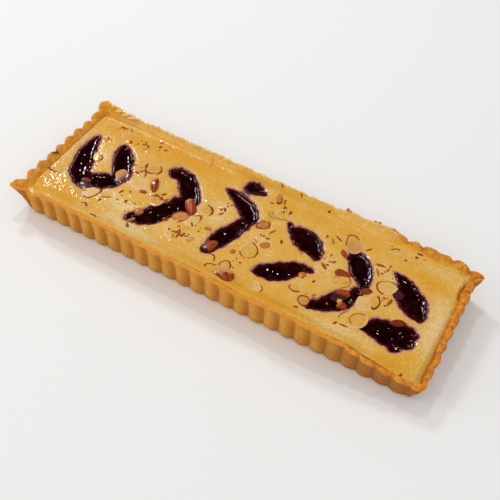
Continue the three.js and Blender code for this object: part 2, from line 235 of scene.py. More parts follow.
def wall_point(sample, inset, z, depth):
    """A sample's point, inset from the tin, at height z, with flutes this deep."""
    rise = clamp(z / sample.height)
    place = sample.point.x if sample.side in ("front", "back") else sample.point.y
    left = 1 + (between(RIM_FLUTE[sample.side], place) - 1) * smooth(rise, 0.5, 0.95)
    if sample.side == "back" and FLAT_STRETCH[0] < sample.point.x < FLAT_STRETCH[1]:
        left *= 1 - FLAT_SHARE * rise
    flute = depth * left * (1 - sample.lobe)
    lean = sample.lean * (1 - rise)
    spot = sample.point - sample.out * (inset + lean + flute - sample.swell) + sample.flare * rise
    return Vector((spot.x, spot.y, z))


def ridge_point(sample, inside):
    """The nearest point on the plain rectangle that lies this far inside the tin."""
    reach_x, reach_y = LENGTH / 2 - inside, WIDTH / 2 - inside
    return clamp(sample.point.x, -reach_x, reach_x), clamp(sample.point.y, -reach_y, reach_y)


# ---- mesh helpers ----


def shown(name, bm, material):
    """Makes a bmesh an object of this material."""
    mesh = bpy.data.meshes.new(name)
    bm.to_mesh(mesh)
    bm.free()
    mesh.materials.append(material)
    return put(name, mesh)


def finish_piece(name, bm, material, slot, *nodes):
    """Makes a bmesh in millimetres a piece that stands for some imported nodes."""
    bmesh.ops.scale(bm, vec=(MM, MM, MM), verts=bm.verts)
    for face in bm.faces:
        face.smooth = True
    piece = shown(name, bm, material)
    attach(piece, "root")
    if nodes:
        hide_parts(*nodes)


def painted(bm, *names):
    """Room for named values that a piece's points carry for its material."""
    return {name: bm.verts.layers.float.new(name) for name in names}


def set_all(layers, verts, **values):
    """Gives the same values to all these points."""
    for name, value in values.items():
        for vert in verts:
            vert[layers[name]] = value


def points_in(made):
    return [item for item in made if isinstance(item, bmesh.types.BMVert)]


def border_of(bm):
    """The open edges of a sheet."""
    return [edge for edge in bm.edges if edge.is_boundary]


def ring_body(samples, rows, place, tints):
    """A closed body of rings stacked row by row: place(vert, sample, row) sets each point."""
    bm = bmesh.new()
    which = bm.verts.layers.int.new("sample")
    painted(bm, *tints)
    ring = bmesh.ops.create_circle(bm, segments=len(samples), radius=1)["verts"]
    for index, vert in enumerate(ring):
        vert[which] = index
    edges = bm.edges[:]
    for row in rows:
        if row is not rows[0]:
            made = bmesh.ops.extrude_edge_only(bm, edges=edges)["geom"]
            ring = points_in(made)
            edges = [item for item in made
                     if isinstance(item, bmesh.types.BMEdge) and item.is_boundary]
        for vert in ring:
            place(bm, vert, samples[vert[which]], row)
    bmesh.ops.remove_doubles(bm, verts=bm.verts, dist=SAME_POINT)
    bmesh.ops.recalc_face_normals(bm, faces=bm.faces)
    bm.verts.layers.int.remove(which)
    return bm


def close_below(bm, drop):
    """Draws an open sheet's border down and closes the body underneath."""
    for vert in points_in(bmesh.ops.extrude_edge_only(bm, edges=border_of(bm))["geom"]):
        drop(vert)
    bmesh.ops.holes_fill(bm, edges=border_of(bm), sides=0)
    bmesh.ops.recalc_face_normals(bm, faces=bm.faces)


# ---- materials ----


def srgb(code):
    """A hex colour as linear red, green, blue and alpha."""
    parts = [int(code[i:i + 2], 16) / 255 for i in (1, 3, 5)]
    linear = [p / 12.92 if p <= 0.04045 else ((p + 0.055) / 1.055) ** 2.4 for p in parts]
    return (*linear, 1)


def add(tree, kind, inputs, out=0, **settings):
    """Adds a node with its settings and gives one of its outputs. An input is a number, a hex
    colour, another node's output or the name of a value that the piece's points carry."""
    node = tree.nodes.new(kind)
    for name, value in settings.items():
        setattr(node, name, value)
    for name, value in inputs.items():
        if isinstance(value, str) and not value.startswith("#"):
            value = add(tree, "ShaderNodeAttribute", {}, "Fac", attribute_name=value)
        if isinstance(value, bpy.types.NodeSocket):
            tree.links.new(value, node.inputs[name])
        else:
            node.inputs[name].default_value = srgb(value) if isinstance(value, str) else value
    return node.outputs[out] if node.outputs else None


def start_material(name):
    material = bpy.data.materials.new(name)
    material.use_nodes = True
    material.node_tree.nodes.clear()
    return material, material.node_tree


def grain(tree, size, detail=2, rough=0.5):
    """Cloudy grain fixed to the piece, from 0 to 1, about this many millimetres across."""
    spot = add(tree, "ShaderNodeTexCoord", {}, "Object")
    return add(tree, "ShaderNodeTexNoise", {
        "Vector": spot, "Scale": 1 / (size * MM), "Detail": detail, "Roughness": rough,
    })


def swayed(tree, value, size, reach, detail=2, rough=0.5):
    """A value that grain of this size pushes up and down over a reach in all."""
    pushed = add(tree, "ShaderNodeMath", {0: grain(tree, size, detail, rough), 1: reach, 2: value},
                 operation="MULTIPLY_ADD")
    return add(tree, "ShaderNodeMath", {0: pushed, 1: reach / 2}, operation="SUBTRACT")


def tinted(tree, under, tint, where, span=None, strength=None):
    """Lays a tint over a colour. The span says at which values of where it starts to show and
    is full, and the strength how much of it then shows."""
    if span:
        where = add(tree, "ShaderNodeMapRange", {
            "Value": where, "From Min": span[0], "From Max": span[1],
        }, interpolation_type="SMOOTHSTEP")
    if strength:
        where = add(tree, "ShaderNodeMath", {0: where, 1: strength}, operation="MULTIPLY")
    return add(tree, "ShaderNodeMix", {0: where, 6: under, 7: tint}, 2, data_type="RGBA")


def bumps(tree, size, depth, strength=1, detail=2, rough=0.5, share=None, below=None):
    """Bumps this many millimetres across and deep, laid over others."""
    height = grain(tree, size, detail, rough)
    if share:
        height = add(tree, "ShaderNodeMath", {0: height, 1: share}, operation="MULTIPLY")
    inputs = {"Height": height, "Distance": depth * MM, "Strength": strength}
    if below is not None:
        inputs["Normal"] = below
    return add(tree, "ShaderNodeBump", inputs)


def surface(tree, inputs):
    """The shader that a material ends in."""
    shader = add(tree, "ShaderNodeBsdfPrincipled", inputs)
    add(tree, "ShaderNodeOutputMaterial", {"Surface": shader})


def baked_shortcrust():
    """Shortcrust pastry, baked in a fluted tin: matt, sandy, ochre outside and toasted orange
    where it was open to the oven, with painted shade in the creases, on the flanks turned from the
    light and towards the foot, glazed where the filling ran over."""
    material, tree = start_material("baked_shortcrust")
    color = tinted(tree, "#d88e2c", "#e2a240", grain(tree, 12, 3), (0.35, 0.65))
    color = tinted(tree, color, "#eebc66", grain(tree, 1.5, 3, 0.6), (0.35, 0.65), 0.35)
    # Painted shade darkens the flanks turned from the light, the grooves, the foot of the outer
    # wall and, under shade, the outer walls.
    for where, tint, strength in (("flank", "#b26c1c", 0.75), ("groove", "#9a5f22", 0.5),
                                  ("foot", "#a96c30", 0.55), ("shade", "#a3632c", 0.8)):
        color = tinted(tree, color, tint, where, strength=strength)
    crust = grain(tree, 3, 3)
    for where, deep, bright in (("rim", "#f09a2e", "#f8b24a"), ("inside", "#f6a024", "#fec450"),
                                ("golden", "#fdc050", "#fdd280")):
        color = tinted(tree, color, tinted(tree, deep, bright, crust, (0.3, 0.7)), where)
    color = tinted(tree, color, "#d87a20", grain(tree, 4.5, 3), (0.32, 0.6), "toast")
    color = tinted(tree, color, "#6e3218", grain(tree, 3, 3), (0.42, 0.6), "scorch")
    color = tinted(tree, color, "#451a10", "burnt")
    color = tinted(tree, color, "#9a5a20", grain(tree, 1.3, 1), (0.64, 0.72), 0.35)
    color = tinted(tree, color, "#e6bd78", grain(tree, 1.7, 2), (0.62, 0.72), 0.35)
    sandy = bumps(tree, 2.4, 0.45, 0.9, 3, 0.6)
    surface(tree, {"Base Color": color, "Roughness": 0.7, "IOR": 1.45, "Specular IOR Level": 0.15,
                   "Normal": bumps(tree, 1, 0.2, 0.9, below=sandy),
                   "Coat Weight": "glaze", "Coat Roughness": 0.06,
                   "Coat Normal": bumps(tree, 3, 0.12, detail=1)})
    return material


def baked_custard():
    """Almond custard with an egg-washed skin: golden with cream clouds, satin, finely pitted,
    stained by plum juice."""
    material, tree = start_material("baked_custard")
    clouds = swayed(tree, "tone", 16, 2.4, 4, 0.65)
    clouds = swayed(tree, clouds, 1.7, 3.8, 3, 0.7)
    color = tinted(tree, "#e5a022", "#e7b048", clouds, (-1, 0.2))
    color = tinted(tree, color, "#edcb8c", clouds, (0.2, 1.3))
    color = tinted(tree, color, "#eeaa2e", "hollow")
    # Pale specks: painted glints, standing in for the small sparkles of the wet skin.
    color = tinted(tree, color, "#f2d8a4", grain(tree, 1.2, 1), (0.66, 0.74), 0.4)
    color = tinted(tree, color, "#b87a2a", grain(tree, 1.8, 1), (0.7, 0.76), 0.5)
    shore = swayed(tree, "shore", 5, 3)
    shore = swayed(tree, shore, 1.8, 2.4, 3, 0.7)
    color = tinted(tree, color, "#d8a080", shore, (4.1, 1.5), 0.55)
    color = tinted(tree, color, "#96505a", shore, (2.5, 0.8))
    color = tinted(tree, color, "#34080f", shore, (1.1, 0.2))
    color = tinted(tree, color, "#6a260e", "scorch")
    wet = add(tree, "ShaderNodeMapRange", {
        "Value": grain(tree, 1.8, 1), "From Min": 0.46, "From Max": 0.54,
    }, interpolation_type="SMOOTHSTEP")
    surface(tree, {"Base Color": color, "Roughness": 0.5, "IOR": 1.45, "Specular IOR Level": 0.2,
                   "Normal": bumps(tree, 1.7, 0.25, 0.9, 3, 0.65),
                   "Coat Weight": wet, "Coat Roughness": 0.04, "Coat IOR": 1.45,
                   "Coat Normal": bumps(tree, 2.4, 0.36, detail=1)})
    return material


def cooked_plum():
    """Dark plum baked to a jam in its own syrup: almost black wine red, wet, puckered."""
    material, tree = start_material("cooked_plum")
    color = tinted(tree, "#160305", "#3a0a0c", grain(tree, 5, 3), (0.45, 0.75), 0.7)
    color = tinted(tree, color, "#400c0e", "edge")
    puckers = bumps(tree, 2.6, 0.12, share="puckered")
    surface(tree, {"Base Color": color, "Roughness": 0.5, "IOR": 1.4, "Specular IOR Level": 0,
                   "Normal": puckers, "Coat Weight": 1, "Coat Roughness": 0.03, "Coat IOR": 1.42,
                   "Coat Normal": puckers})
    return material


def flaked_almond():
    """Almond sliced thin with its skin on: cream, faintly see-through under the glaze, inside a
    thin brown line of skin, pink to wine red where plum juice has soaked in."""
    material, tree = start_material("flaked_almond")
    cloudy, streaks = grain(tree, 3), grain(tree, 1.4, 3, 0.6)
    fresh, bedded, tan, roast = (
        tinted(tree, deep, bright, pattern, (0.35, 0.7)) for deep, bright, pattern in (
            ("#e4b464", "#e8c07a", cloudy), ("#dfa63e", "#e6b458", cloudy),
            ("#bc5c1a", "#da8e40", streaks), ("#802002", "#b84c08", streaks),
        )
    )
    color = tinted(tree, fresh, bedded, "tone", (-1, 0))
    color = tinted(tree, color, "#eccb92", "pale")
    for where, tint, span in (("stain", "#b8705c", (0, 0.5)), ("tone", tan, (0, 0.5)),
                              ("tone", roast, (0.5, 1)), ("stain", "#480e16", (0.3, 1)),
                              ("skin", "#8e2c06", (0.15, 0.7))):
        color = tinted(tree, color, tint, where, span)
    surface(tree, {"Base Color": color, "Roughness": 0.5, "IOR": 1.45, "Specular IOR Level": 0.2,
                   "Coat Weight": 0.5, "Coat Roughness": 0.1, "Coat IOR": 1.4,
                   "Normal": bumps(tree, 1.2, 0.08, 0.8)})
    return material


def almond_skin():
    """Roasted almond skin under syrup: red-brown, finely ridged, glossy, cream where cut and
    plum red where it lies in the juice."""
    material, tree = start_material("almond_skin")
    color = tinted(tree, "#902a02", "#cc5a0a", grain(tree, 1.3, 3, 0.6), (0.35, 0.7))
    for where, tint in (("ridge", "#5e210c"), ("cut", "#dda35e"), ("stain", "#3c120e")):
        color = tinted(tree, color, tint, where)
    surface(tree, {"Base Color": color, "Roughness": 0.35, "IOR": 1.45,
                   "Coat Weight": 1, "Coat Roughness": 0.04, "Coat IOR": 1.45,
                   "Coat Normal": bumps(tree, 2.2, 0.05, detail=1),
                   "Normal": bumps(tree, 1, 0.15, 0.9, 3)})
    return material


shortcrust = baked_shortcrust()
custard_skin = baked_custard()
plum_flesh = cooked_plum()
almond_flesh = flaked_almond()
roast_skin = almond_skin()

# ---- pastry case ----

TINTS = ("flank", "groove", "foot", "shade", "rim", "inside",
         "toast", "scorch", "burnt", "golden", "glaze")
TOAST = {"front": 0.25, "right": 0.8, "back": 0.3, "left": 0.75}
SCORCH = {"front": 0.1, "right": 0.75, "back": 0.15, "left": 0.15}
BURNT_TIP, BURNT_REACH = -14, (1.5, 4)  # on the left rim
OUTER_ROWS = 18
FOOT_TOP = 3.4  # the outer wall is upright above this
FOOT = [(7, 0), (2.4, 0), (1.1, 0.35), (0.5, 0.9), (0.15, 1.8), (0, FOOT_TOP)]  # inset, height
SHOULDER = 2  # where the wall ends and the rim's rounding starts
# Share of the wall's thickness, and drop below the top.
RIM_ROUND = [(0.03, 1.3), (0.12, 0.6), (0.28, 0.16), (0.5, 0), (0.7, 0.2), (0.86, 0.7),
             (0.97, 1.5)]
ROUNDED_FOR = 3.2  # the wall thickness that this rounding is drawn for
INNER_DROP = [2.4, 3.4, 4.6, 6, 8, 11]
WELL_INSET = 2  # the inner wall's foot stands this far in from its top
INNER_SLOPE = {"front": 0.15, "right": 0.9, "back": 0.8, "left": 0.5}

CaseRow = namedtuple("CaseRow", "part inset rise")
case_rows = [CaseRow("base", WIDTH / 2, 0)]
case_rows += [CaseRow("outer", *row) for row in FOOT]
case_rows += [CaseRow("wall", 0, share / OUTER_ROWS) for share in range(1, OUTER_ROWS + 1)]
case_rows += [CaseRow("rim", *row) for row in RIM_ROUND]
case_rows += [CaseRow("inner", 1, drop) for drop in INNER_DROP]
case_rows += [CaseRow("well", 1, FLOOR), CaseRow("base", WIDTH / 2, FLOOR)]


def case_point(bm, vert, sample, row):
    """Places a point of the case and says how it is coloured."""
    if row.part == "base":
        vert.co = Vector((*ridge_point(sample, row.inset), row.rise))
        return
    outer, inner = OUTER_FLUTE[sample.side], INNER_FLUTE[sample.side]
    top, rounding = sample.height, sample.thick / ROUNDED_FOR
    if row.part == "outer":
        inset, z, depth = row.inset, row.rise, outer
    elif row.part == "wall":
        inset, z, depth = 0, FOOT_TOP + row.rise * (top - SHOULDER - FOOT_TOP), outer
    elif row.part == "rim":
        inset, z = row.inset * sample.thick, top - row.rise * rounding
        depth = outer + (inner - outer) * smooth(row.inset, 0.4, 1)
    elif row.part == "inner":
        inset = sample.thick + INNER_SLOPE[sample.side] * (row.rise - RIM_ROUND[-1][1])
        z, depth = top - row.rise * rounding, inner
    else:
        inset, z, depth = sample.thick + WELL_INSET, row.rise, inner
    vert.co = wall_point(sample, inset, z, depth)
    outside = row.part in ("outer", "wall")
    x, y, _ = vert.co
    below = top - z
    groove = 1 - smooth(sample.lobe, 0, 0.35)
    near_rim = 1 - smooth(below, 1.6, 3.4)
    values = {
        # Painted shade on the front flanks turned from the light.
        "flank": sample.flank if outside and sample.side == "front" else 0,
        # Painted shade in the grooves between the lobes.
        "groove": groove * outside * (1 - 0.7 * near_rim),
        # Painted shade towards the foot of the outer wall.
        "foot": (1 - smooth(z, 0.5, 5)) * outside,
        "shade": smooth(x, 60, 150) * outside if sample.side == "front" else outside,
        "rim": near_rim if row.part in ("wall", "rim") else 0,
        "inside": 0 if outside else smooth(row.inset, 0.6, 1),
        "toast": TOAST[sample.side] * (1 - smooth(below, 2, 9)),
        "scorch": SCORCH[sample.side] * (0.4 + 0.6 * groove) * (1 - smooth(below, 3, 16)),
    }
    if sample.side == "front":
        values["toast"] = (0.3 + 0.5 * smooth(x, 90, 140)) * (1 - smooth(below, 1, 5))
    if sample.side == "back":
        values["toast"] = (0.08 + 0.82 * smooth(x, 95, 125)) * (1 - smooth(below, 1, 7))
        values["golden"] = smooth(x, -166, -150) * (1 - smooth(x, 100, 118))
        values["golden"] *= 1 - outside * smooth(below, 2, 6)
        values["glaze"] = smooth(x, -172, -160) * (1 - 0.5 * smooth(x, -120, 90))
        values["glaze"] *= 1 - smooth(below, 2, 7)
    if sample.side == "left":
        tip = 1 - smooth(abs(y - BURNT_TIP), *BURNT_REACH)
        open_corner = 1 - smooth(y, -52, -36)
        values["toast"] *= 0.8 - 0.3 * open_corner
        values["scorch"] *= 0.6 * (1 - 0.85 * open_corner)
        values["golden"] = 0.3 * values["inside"]
        if row.part == "rim":
            values["burnt"] = 0.9 * tip * near_rim * (1 - smooth(row.inset, 0.7, 1))
    for name, value in values.items():
        vert[bm.verts.layers.float[name]] = value


def roughen_pastry(bm):
    """Sandy dents and blisters, stronger on the thick toasted rims."""
    bm.normal_update()
    rim, inside, toast, glaze = (
        bm.verts.layers.float[name] for name in ("rim", "inside", "toast", "glaze")
    )
    for vert in bm.verts:
        lumps = 0.25 + 0.8 * vert[toast] * max(vert[rim], vert[inside]) + 0.9 * vert[glaze]
        push = 0.22 * wavy(vert.co, 16, 3)
        push += lumps * wavy(vert.co, 5, 1)
        push += 0.6 * lumps * wavy(vert.co, 2.2, 2)
        vert.co += vert.normal * push * smooth(vert.co.z, 0.3, 3)
        for axis in range(3):
            vert.co[axis] = clamp(vert.co[axis], cad_box[0][axis] / MM, cad_box[1][axis] / MM)


pastry = ring_body(walk_rim(), case_rows, case_point, TINTS)
roughen_pastry(pastry)
finish_piece("pastry_case_baked", pastry, shortcrust, "shortcrust", "pastry_case")

# Bits on the back rim: place, width and height. Burrs were torn up by the tin; spills are
# flat wet runs of filling that boiled over near the left end.
BURRS = [(61.5, 60.3, 29.3, 2.6, 1.6), (64, 60, 29, 2, 1), (85.5, 60.2, 29.6, 3, 1.3),
         (89, 60.4, 30, 3, 1.3), (101, 60, 29.6, 3.4, 1.5), (104.5, 60, 28.8, 2.6, 1.4)]
SPILLS = [(-165, 57.6, 30.6, 5, 0.8), (-161, 58.4, 29.9, 4.5, 0.8), (-158, 56.9, 29.1, 5, 0.8),
          (-155, 58.3, 28.6, 4, 0.7), (-151, 57.2, 28.1, 5, 0.8), (-148, 58.6, 27.8, 4, 0.7),
          (-144, 57.4, 27.4, 5, 0.8), (-140, 58.4, 27.1, 4, 0.7), (-153, 55.5, 27.7, 4, 0.7),
          (-160, 55.3, 28.7, 4, 0.7), (-147, 55.7, 27, 4, 0.7)]


def rim_bits(rows, spiky, **tints):
    """Lumps of crust on the rim, coloured as it is, the more torn the spikier."""
    bm = bmesh.new()
    layers = painted(bm, *TINTS)
    for x, y, z, wide, high in rows:
        for vert in bmesh.ops.create_icosphere(bm, subdivisions=3, radius=1)["verts"]:
            full = 1 + spiky * wavy(vert.co + Vector((x, 0, 0)), 0.6)
            vert.co = Vector((vert.co.x * wide / 2, vert.co.y * wide / 3, vert.co.z * high)) * full
            vert.co += Vector((x, y, z))
            vert.co.z = min(vert.co.z, cad_box[1].z / MM)
            vert.co.y = min(vert.co.y, cad_box[1].y / MM)
    set_all(layers, bm.verts, **tints)
    return bm


burrs = rim_bits(BURRS, 0.7, rim=1, toast=0.8)
spills = rim_bits(SPILLS, 0.25, golden=1, glaze=1)
finish_piece("pastry_burrs", burrs, shortcrust, "shortcrust")
finish_piece("pastry_spills", spills, shortcrust, "shortcrust")

# ---- where the plum lies ----

PLUMS = sorted(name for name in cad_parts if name.startswith("plum_"))
PLUM_CROWN = 2.2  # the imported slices' edge is this far under their tops
WALL_REACH = 50  # up and down, for the walls that distances are measured from
MERGE = 1.2  # slices closer than this run together in their juice
FAR = 12
POOLS = [  # juice between slices: one of its slices, middle, half width
    ("plum_1_foot", -139, -21.5, 6), ("plum_1_foot", -116, -6, 4.5),
    ("plum_2_upper", -79, 23, 4.5), ("plum_2_upper", -59, -3, 6), ("plum_2_upper", -51, -6, 4.5),
    ("plum_3_upper", -5, 4, 5.5), ("plum_5_upper", 100.5, -8, 3), ("plum_5_upper", 86, 22, 4),
    ("plum_6_lower", 144, -39.5, 3.5), ("plum_6_lower", 151, -30, 4),
]
# Where the custard cuts into the fruit: middle and reach.
BITES = [(-90.5, 27, 5), (161, -18, 7), (157.5, -41.5, 6), (134, -47, 5)]
# Unevenness: height, width and kind of each size of ripple.
SHORE_RIPPLES = [(0.9, 5, 11), (0.45, 2.2, 12)]
SKIN_RIPPLES = [(0.35, 26, 7), (0.2, 9, 8), (0.1, 2.4, 9)]
PUCKERS = [(0.22, 6, 5), (0.1, 2.8, 6)]
SHORE_SPREAD = 0.35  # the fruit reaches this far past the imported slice

PlumShore = namedtuple("PlumShore", "tree low high")


def rippled(value, x, y, ripples):
    """A value with ripples added."""
    for height, size, kind in ripples:
        value += height * wavy((x, y, 0), size, kind)
    return value


def plum_shore(name):
    """An upright wall along the edge of a packed slice, to measure sideways distances from."""
    bm = bmesh.new()
    bm.from_mesh(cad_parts[name].data)
    bmesh.ops.scale(bm, vec=(1 / MM, 1 / MM, 1 / MM), verts=bm.verts)
    bmesh.ops.remove_doubles(bm, verts=bm.verts, dist=2 * SAME_POINT)
    low, high = (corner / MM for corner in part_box(name))
    bmesh.ops.bisect_plane(bm, geom=bm.verts[:] + bm.edges[:] + bm.faces[:], dist=0.001,
                           plane_co=(0, 0, high.z - PLUM_CROWN), plane_no=UP,
                           clear_inner=True, clear_outer=True)
    for vert in bm.verts:
        vert.co.z = -WALL_REACH
    made = bmesh.ops.extrude_edge_only(bm, edges=bm.edges[:])["geom"]
    bmesh.ops.translate(bm, vec=2 * WALL_REACH * UP, verts=points_in(made))
    bmesh.ops.holes_fill(bm, edges=border_of(bm), sides=0)
    bmesh.ops.recalc_face_normals(bm, faces=bm.faces)
    tree = BVHTree.FromBMesh(bm)
    bm.free()
    return PlumShore(tree, low, high)


shores = {name: plum_shore(name) for name in PLUMS}


def from_plum(x, y, names=PLUMS):
    """How far a place is outside the nearest of these slices, negative inside one."""
    total = 0
    for name in names:
        tree, low, high = shores[name]
        if not (low.x - FAR < x < high.x + FAR and low.y - FAR < y < high.y + FAR):
            continue
        spot = Vector((x, y, 0))
        nearest, normal, _, distance = tree.find_nearest(spot)
        away = distance if (spot - nearest).dot(normal) > 0 else -distance
        total += math.exp(-away / MERGE)
    for slice_name, pool_x, pool_y, reach in POOLS:
        if slice_name in names:
            total += math.exp((reach - math.hypot(x - pool_x, y - pool_y)) / MERGE)
    if total <= math.exp(-FAR / MERGE):
        return FAR
    away = -MERGE * math.log(total)
    for bite_x, bite_y, reach in BITES:
        away = max(away, reach - math.hypot(x - bite_x, y - bite_y))
    return rippled(away, x, y, SHORE_RIPPLES) - SHORE_SPREAD


# ---- height of the custard and the plum ----

LEVEL = 23.3
# How high the custard stands at each wall, where its edge starts to bend and where the bend ends.
CUSTARD_EDGE = {
    "front": [(-165, 20), (-150, 26.9), (0, 27.8), (28, 25.7), (63, 28.5), (111, 26.7),
              (131, 22.7), (153, 19), (172, 17.6)],
    "right": [(-55, 16.5), (-35, 18.6), (0, 20.8), (55, 20.8)],
    "back": [(-165, 20.5), (-145, 21), (-100, 22), (-60, 24), (-20, 26.6), (40, 26.6), (60, 23.6),
             (100, 23.6), (122, 25), (165, 24)],
    "left": [(-52, 19), (-38, 20), (27, 20), (43, 20.5), (55, 20)],
}
BEND = {"front": (2, 17), "right": (5.5, 11), "back": (4, 10.5), "left": (5, 11)}
LIP = {  # a low ridge along the bend: height by place, and how far in it lies
    "front": ([(0, 0)], 12),
    "right": ([(0, 0.15)], 8.5),
    "back": ([(-165, 0.5), (-60, 0.35), (-40, 0), (42, 0), (55, 0.45), (120, 0.4), (130, 0.1)],
             9.5),
    "left": ([(-55, 0.4), (30, 0.5)], 10),
}
LIP_WIDTH = 1.6
CORNER = 15  # radius of the custard's corners
# The custard has shrunk off the right wall: middle and half sizes, how deep, and by how much the
# rest of that edge has sunk. A lip of skin has lifted along a line next to it.
POCKET, POCKET_DEPTH, RIGHT_TROUGH = (171, 37, 4.4, 11), 6, 2
FOLD = [(156, 32), (161, 29), (166, 25.5), (170, 20), (172, 14)]
FOLD_LIP, FOLD_WIDTH = 0.2, 1.4
FOLD_DROP, FOLD_REACH = 0.3, 4  # of the skin on its left


def gaps_of(x, y):
    """How far a place is from each side of the tin."""
    return {"front": WIDTH / 2 + y, "back": WIDTH / 2 - y,
            "left": LENGTH / 2 + x, "right": LENGTH / 2 - x}


def along_line(x, y, line):
    """Distance to a broken line, and which side of it, positive on the left going along."""
    best, side = 1e9, 0
    for (ax, ay), (bx, by) in zip(line, line[1:]):
        dx, dy = bx - ax, by - ay
        share = clamp(((x - ax) * dx + (y - ay) * dy) / (dx * dx + dy * dy))
        reach = math.hypot(x - ax - share * dx, y - ay - share * dy)
        if reach < best:
            best, side = reach, dx * (y - ay) - dy * (x - ax)
    return best, side


def pocket_depth(x, y):
    """1 inside the pocket, 0 outside it."""
    px, py, half_x, half_y = POCKET
    reach = math.hypot((x - px) / half_x, (y - py) / half_y)
    return 1 - smooth(reach + 0.15 * wavy((x, y, 0), 3, 21), 0.6, 1)


def plain_level(x, y):
    """The custard's height before the fruit disturbs it."""
    total = shift = lips = 0
    gaps = gaps_of(x, y)
    for end, side in (("left", "back"), ("right", "back"), ("left", "front")):
        if gaps[end] < CORNER and gaps[side] < CORNER:
            gap = CORNER - math.hypot(CORNER - gaps[end], CORNER - gaps[side])
            gaps[end] = min(gaps[end], gap)
            gaps[side] = min(gaps[side], gap)
    for name, gap in gaps.items():
        place = x if name in ("front", "back") else y
        near, far = BEND[name]
        weight = 1 - smooth(gap + 0.5 * wavy((x, y, 0), 12, 20), near, far)
        total += weight
        shift += weight * (between(CUSTARD_EDGE[name], place) - LEVEL)
        heights, inset = LIP[name]
        crest = gap - inset - 0.8 * wavy((x, y, 0), 14, 22)
        lips += between(heights, place) * math.exp(-(crest / LIP_WIDTH) ** 2)
    level = LEVEL + shift / max(1, total) + lips + rippled(0, x, y, SKIN_RIPPLES)
    if x > 150:
        reach, side = along_line(x, y, FOLD)
        level += FOLD_LIP * math.exp(-(reach / FOLD_WIDTH) ** 2)
        if side > 0:
            level -= FOLD_DROP * math.exp(-reach / FOLD_REACH)
        level -= RIGHT_TROUGH * (1 - smooth(LENGTH / 2 - x, 5.5, 8))
        level -= POCKET_DEPTH * pocket_depth(x, y)
    return level


DIP, DIP_REACH = 1, 2.4  # of the skin towards the fruit
TUCK, TUCK_REACH = 3.5, 1.6  # of the skin under it


def custard_level(x, y, level, away):
    """The skin dips towards the fruit and passes under it."""
    dip = DIP * math.exp(-(max(away, 0) / DIP_REACH) ** 1.5)
    return level - dip - TUCK * smooth(-away, 0, TUCK_REACH)


# How puckered the fruit is, by x.
PUCKERED = [(-170, 0.15), (-125, 0.35), (-60, 0.8), (0, 1.2), (60, 2.4), (110, 3.4), (150, 4.4)]
FINEST_PUCKERS = 1.2  # the finest ones don't deepen past this
EDGE_DROP, DISHED, SKIRT_SLOPE = 0.6, 1.2, 1.8  # at its edge, inside, and under the custard


def plum_level(x, y, level, away):
    """The fruit clings to the custard at its edge, sinks, and is low and puckered inside."""
    inside = max(-away, 0)
    pucker = between(PUCKERED, x) * rippled(0, x, y, PUCKERS)
    dish = DISHED * smooth(inside, 0, 3.2)
    return level - EDGE_DROP - dish + pucker * smooth(inside, 0, 1.6) - SKIRT_SLOPE * max(away, 0)


def top_at(x, y):
    """The height of whatever lies uppermost there, and how far it is from the plum."""
    level, away = plain_level(x, y), from_plum(x, y)
    height = plum_level if away < 0 else custard_level
    return height(x, y, level, away), away


# ---- custard ----

COLUMNS, ROWS = 470, 160
# How far inside the tin's outline each edge of the block is hidden in the pastry.
LEFT_INSET, RIGHT_INSET, BACK_INSET, FRONT_INSET = 3.6, 4.6, 3.2, 2.4
FRONT_RIGHT_MORE = 1.4  # the front wall is thicker at the right
BOTTOM_INSET = 8  # the block narrows downwards with the case
BED = 0.3  # how far it lies above the case's floor
PLAIN_TONE = 0.1  # of the skin between the patches
# Paler (+) and more golden (-) patches of the skin: middle, half sizes, strength.
PATCHES = [
    (-80, -49, 30, 7, 1), (-90, -32, 15, 9, 0.8), (-112, -28, 12, 8, 0.7), (-142, 2, 9, 15, 0.9),
    (-167, 5, 5, 32, 0.8), (-100, -2, 10, 9, 0.6), (-55, -30, 9, 7, 0.6), (-30, -46, 16, 6, 0.4),
    (-25, 4, 12, 16, 0.8), (15, -5, 13, 11, 0.8), (20, 24, 10, 7, 0.5), (98, -48, 30, 6, 0.8),
    (165, -20, 9, 34, 0.8), (150, 44, 18, 9, 0.5), (160, 8, 10, 14, 0.6),
    (-110, 50.4, 58, 1.5, 0.6), (88, 50.4, 42, 1.5, 0.5), (45, -12, 8, 6, 0.5),
    (112, 22, 10, 9, 0.5), (70, -2, 9, 12, 0.4), (-145, -43, 28, 9, -1), (-120, 38, 45, 9, -0.9),
    (-95, 47, 32, 4, -0.8), (-60, 44, 22, 8, -0.7), (-45, -43, 18, 6, -0.6),
    (20, -53, 42, 4, -0.9), (42, -50, 20, 5, -0.5), (60, -53, 22, 3, -0.6), (-8, 55, 32, 4, -0.6),
    (72, 44, 26, 7, -0.4), (143, 31, 14, 6, -0.8), (130, -54, 26, 3, -0.6),
    (156, -47, 12, 6, -0.6), (-80, 27, 10, 14, -0.5), (30, 42, 26, 7, -0.3), (0, -25, 9, 8, -0.5),
]


def patch_tone(x, y):
    """How pale the skin is, from golden below 0 to cream at 1."""
    tone = PLAIN_TONE
    for middle_x, middle_y, half_x, half_y, strength in PATCHES:
        reach = ((x - middle_x) / half_x) ** 2 + ((y - middle_y) / half_y) ** 2
        if reach < 6:
            tone += strength * math.exp(-reach)
    return tone


def trough_at(x):
    """Where a trough runs along the back wall: all but the flush middle and the far right."""
    return 1 - smooth(x, -60, -40) + smooth(x, 40, 52) * (1 - smooth(x, 122, 135))


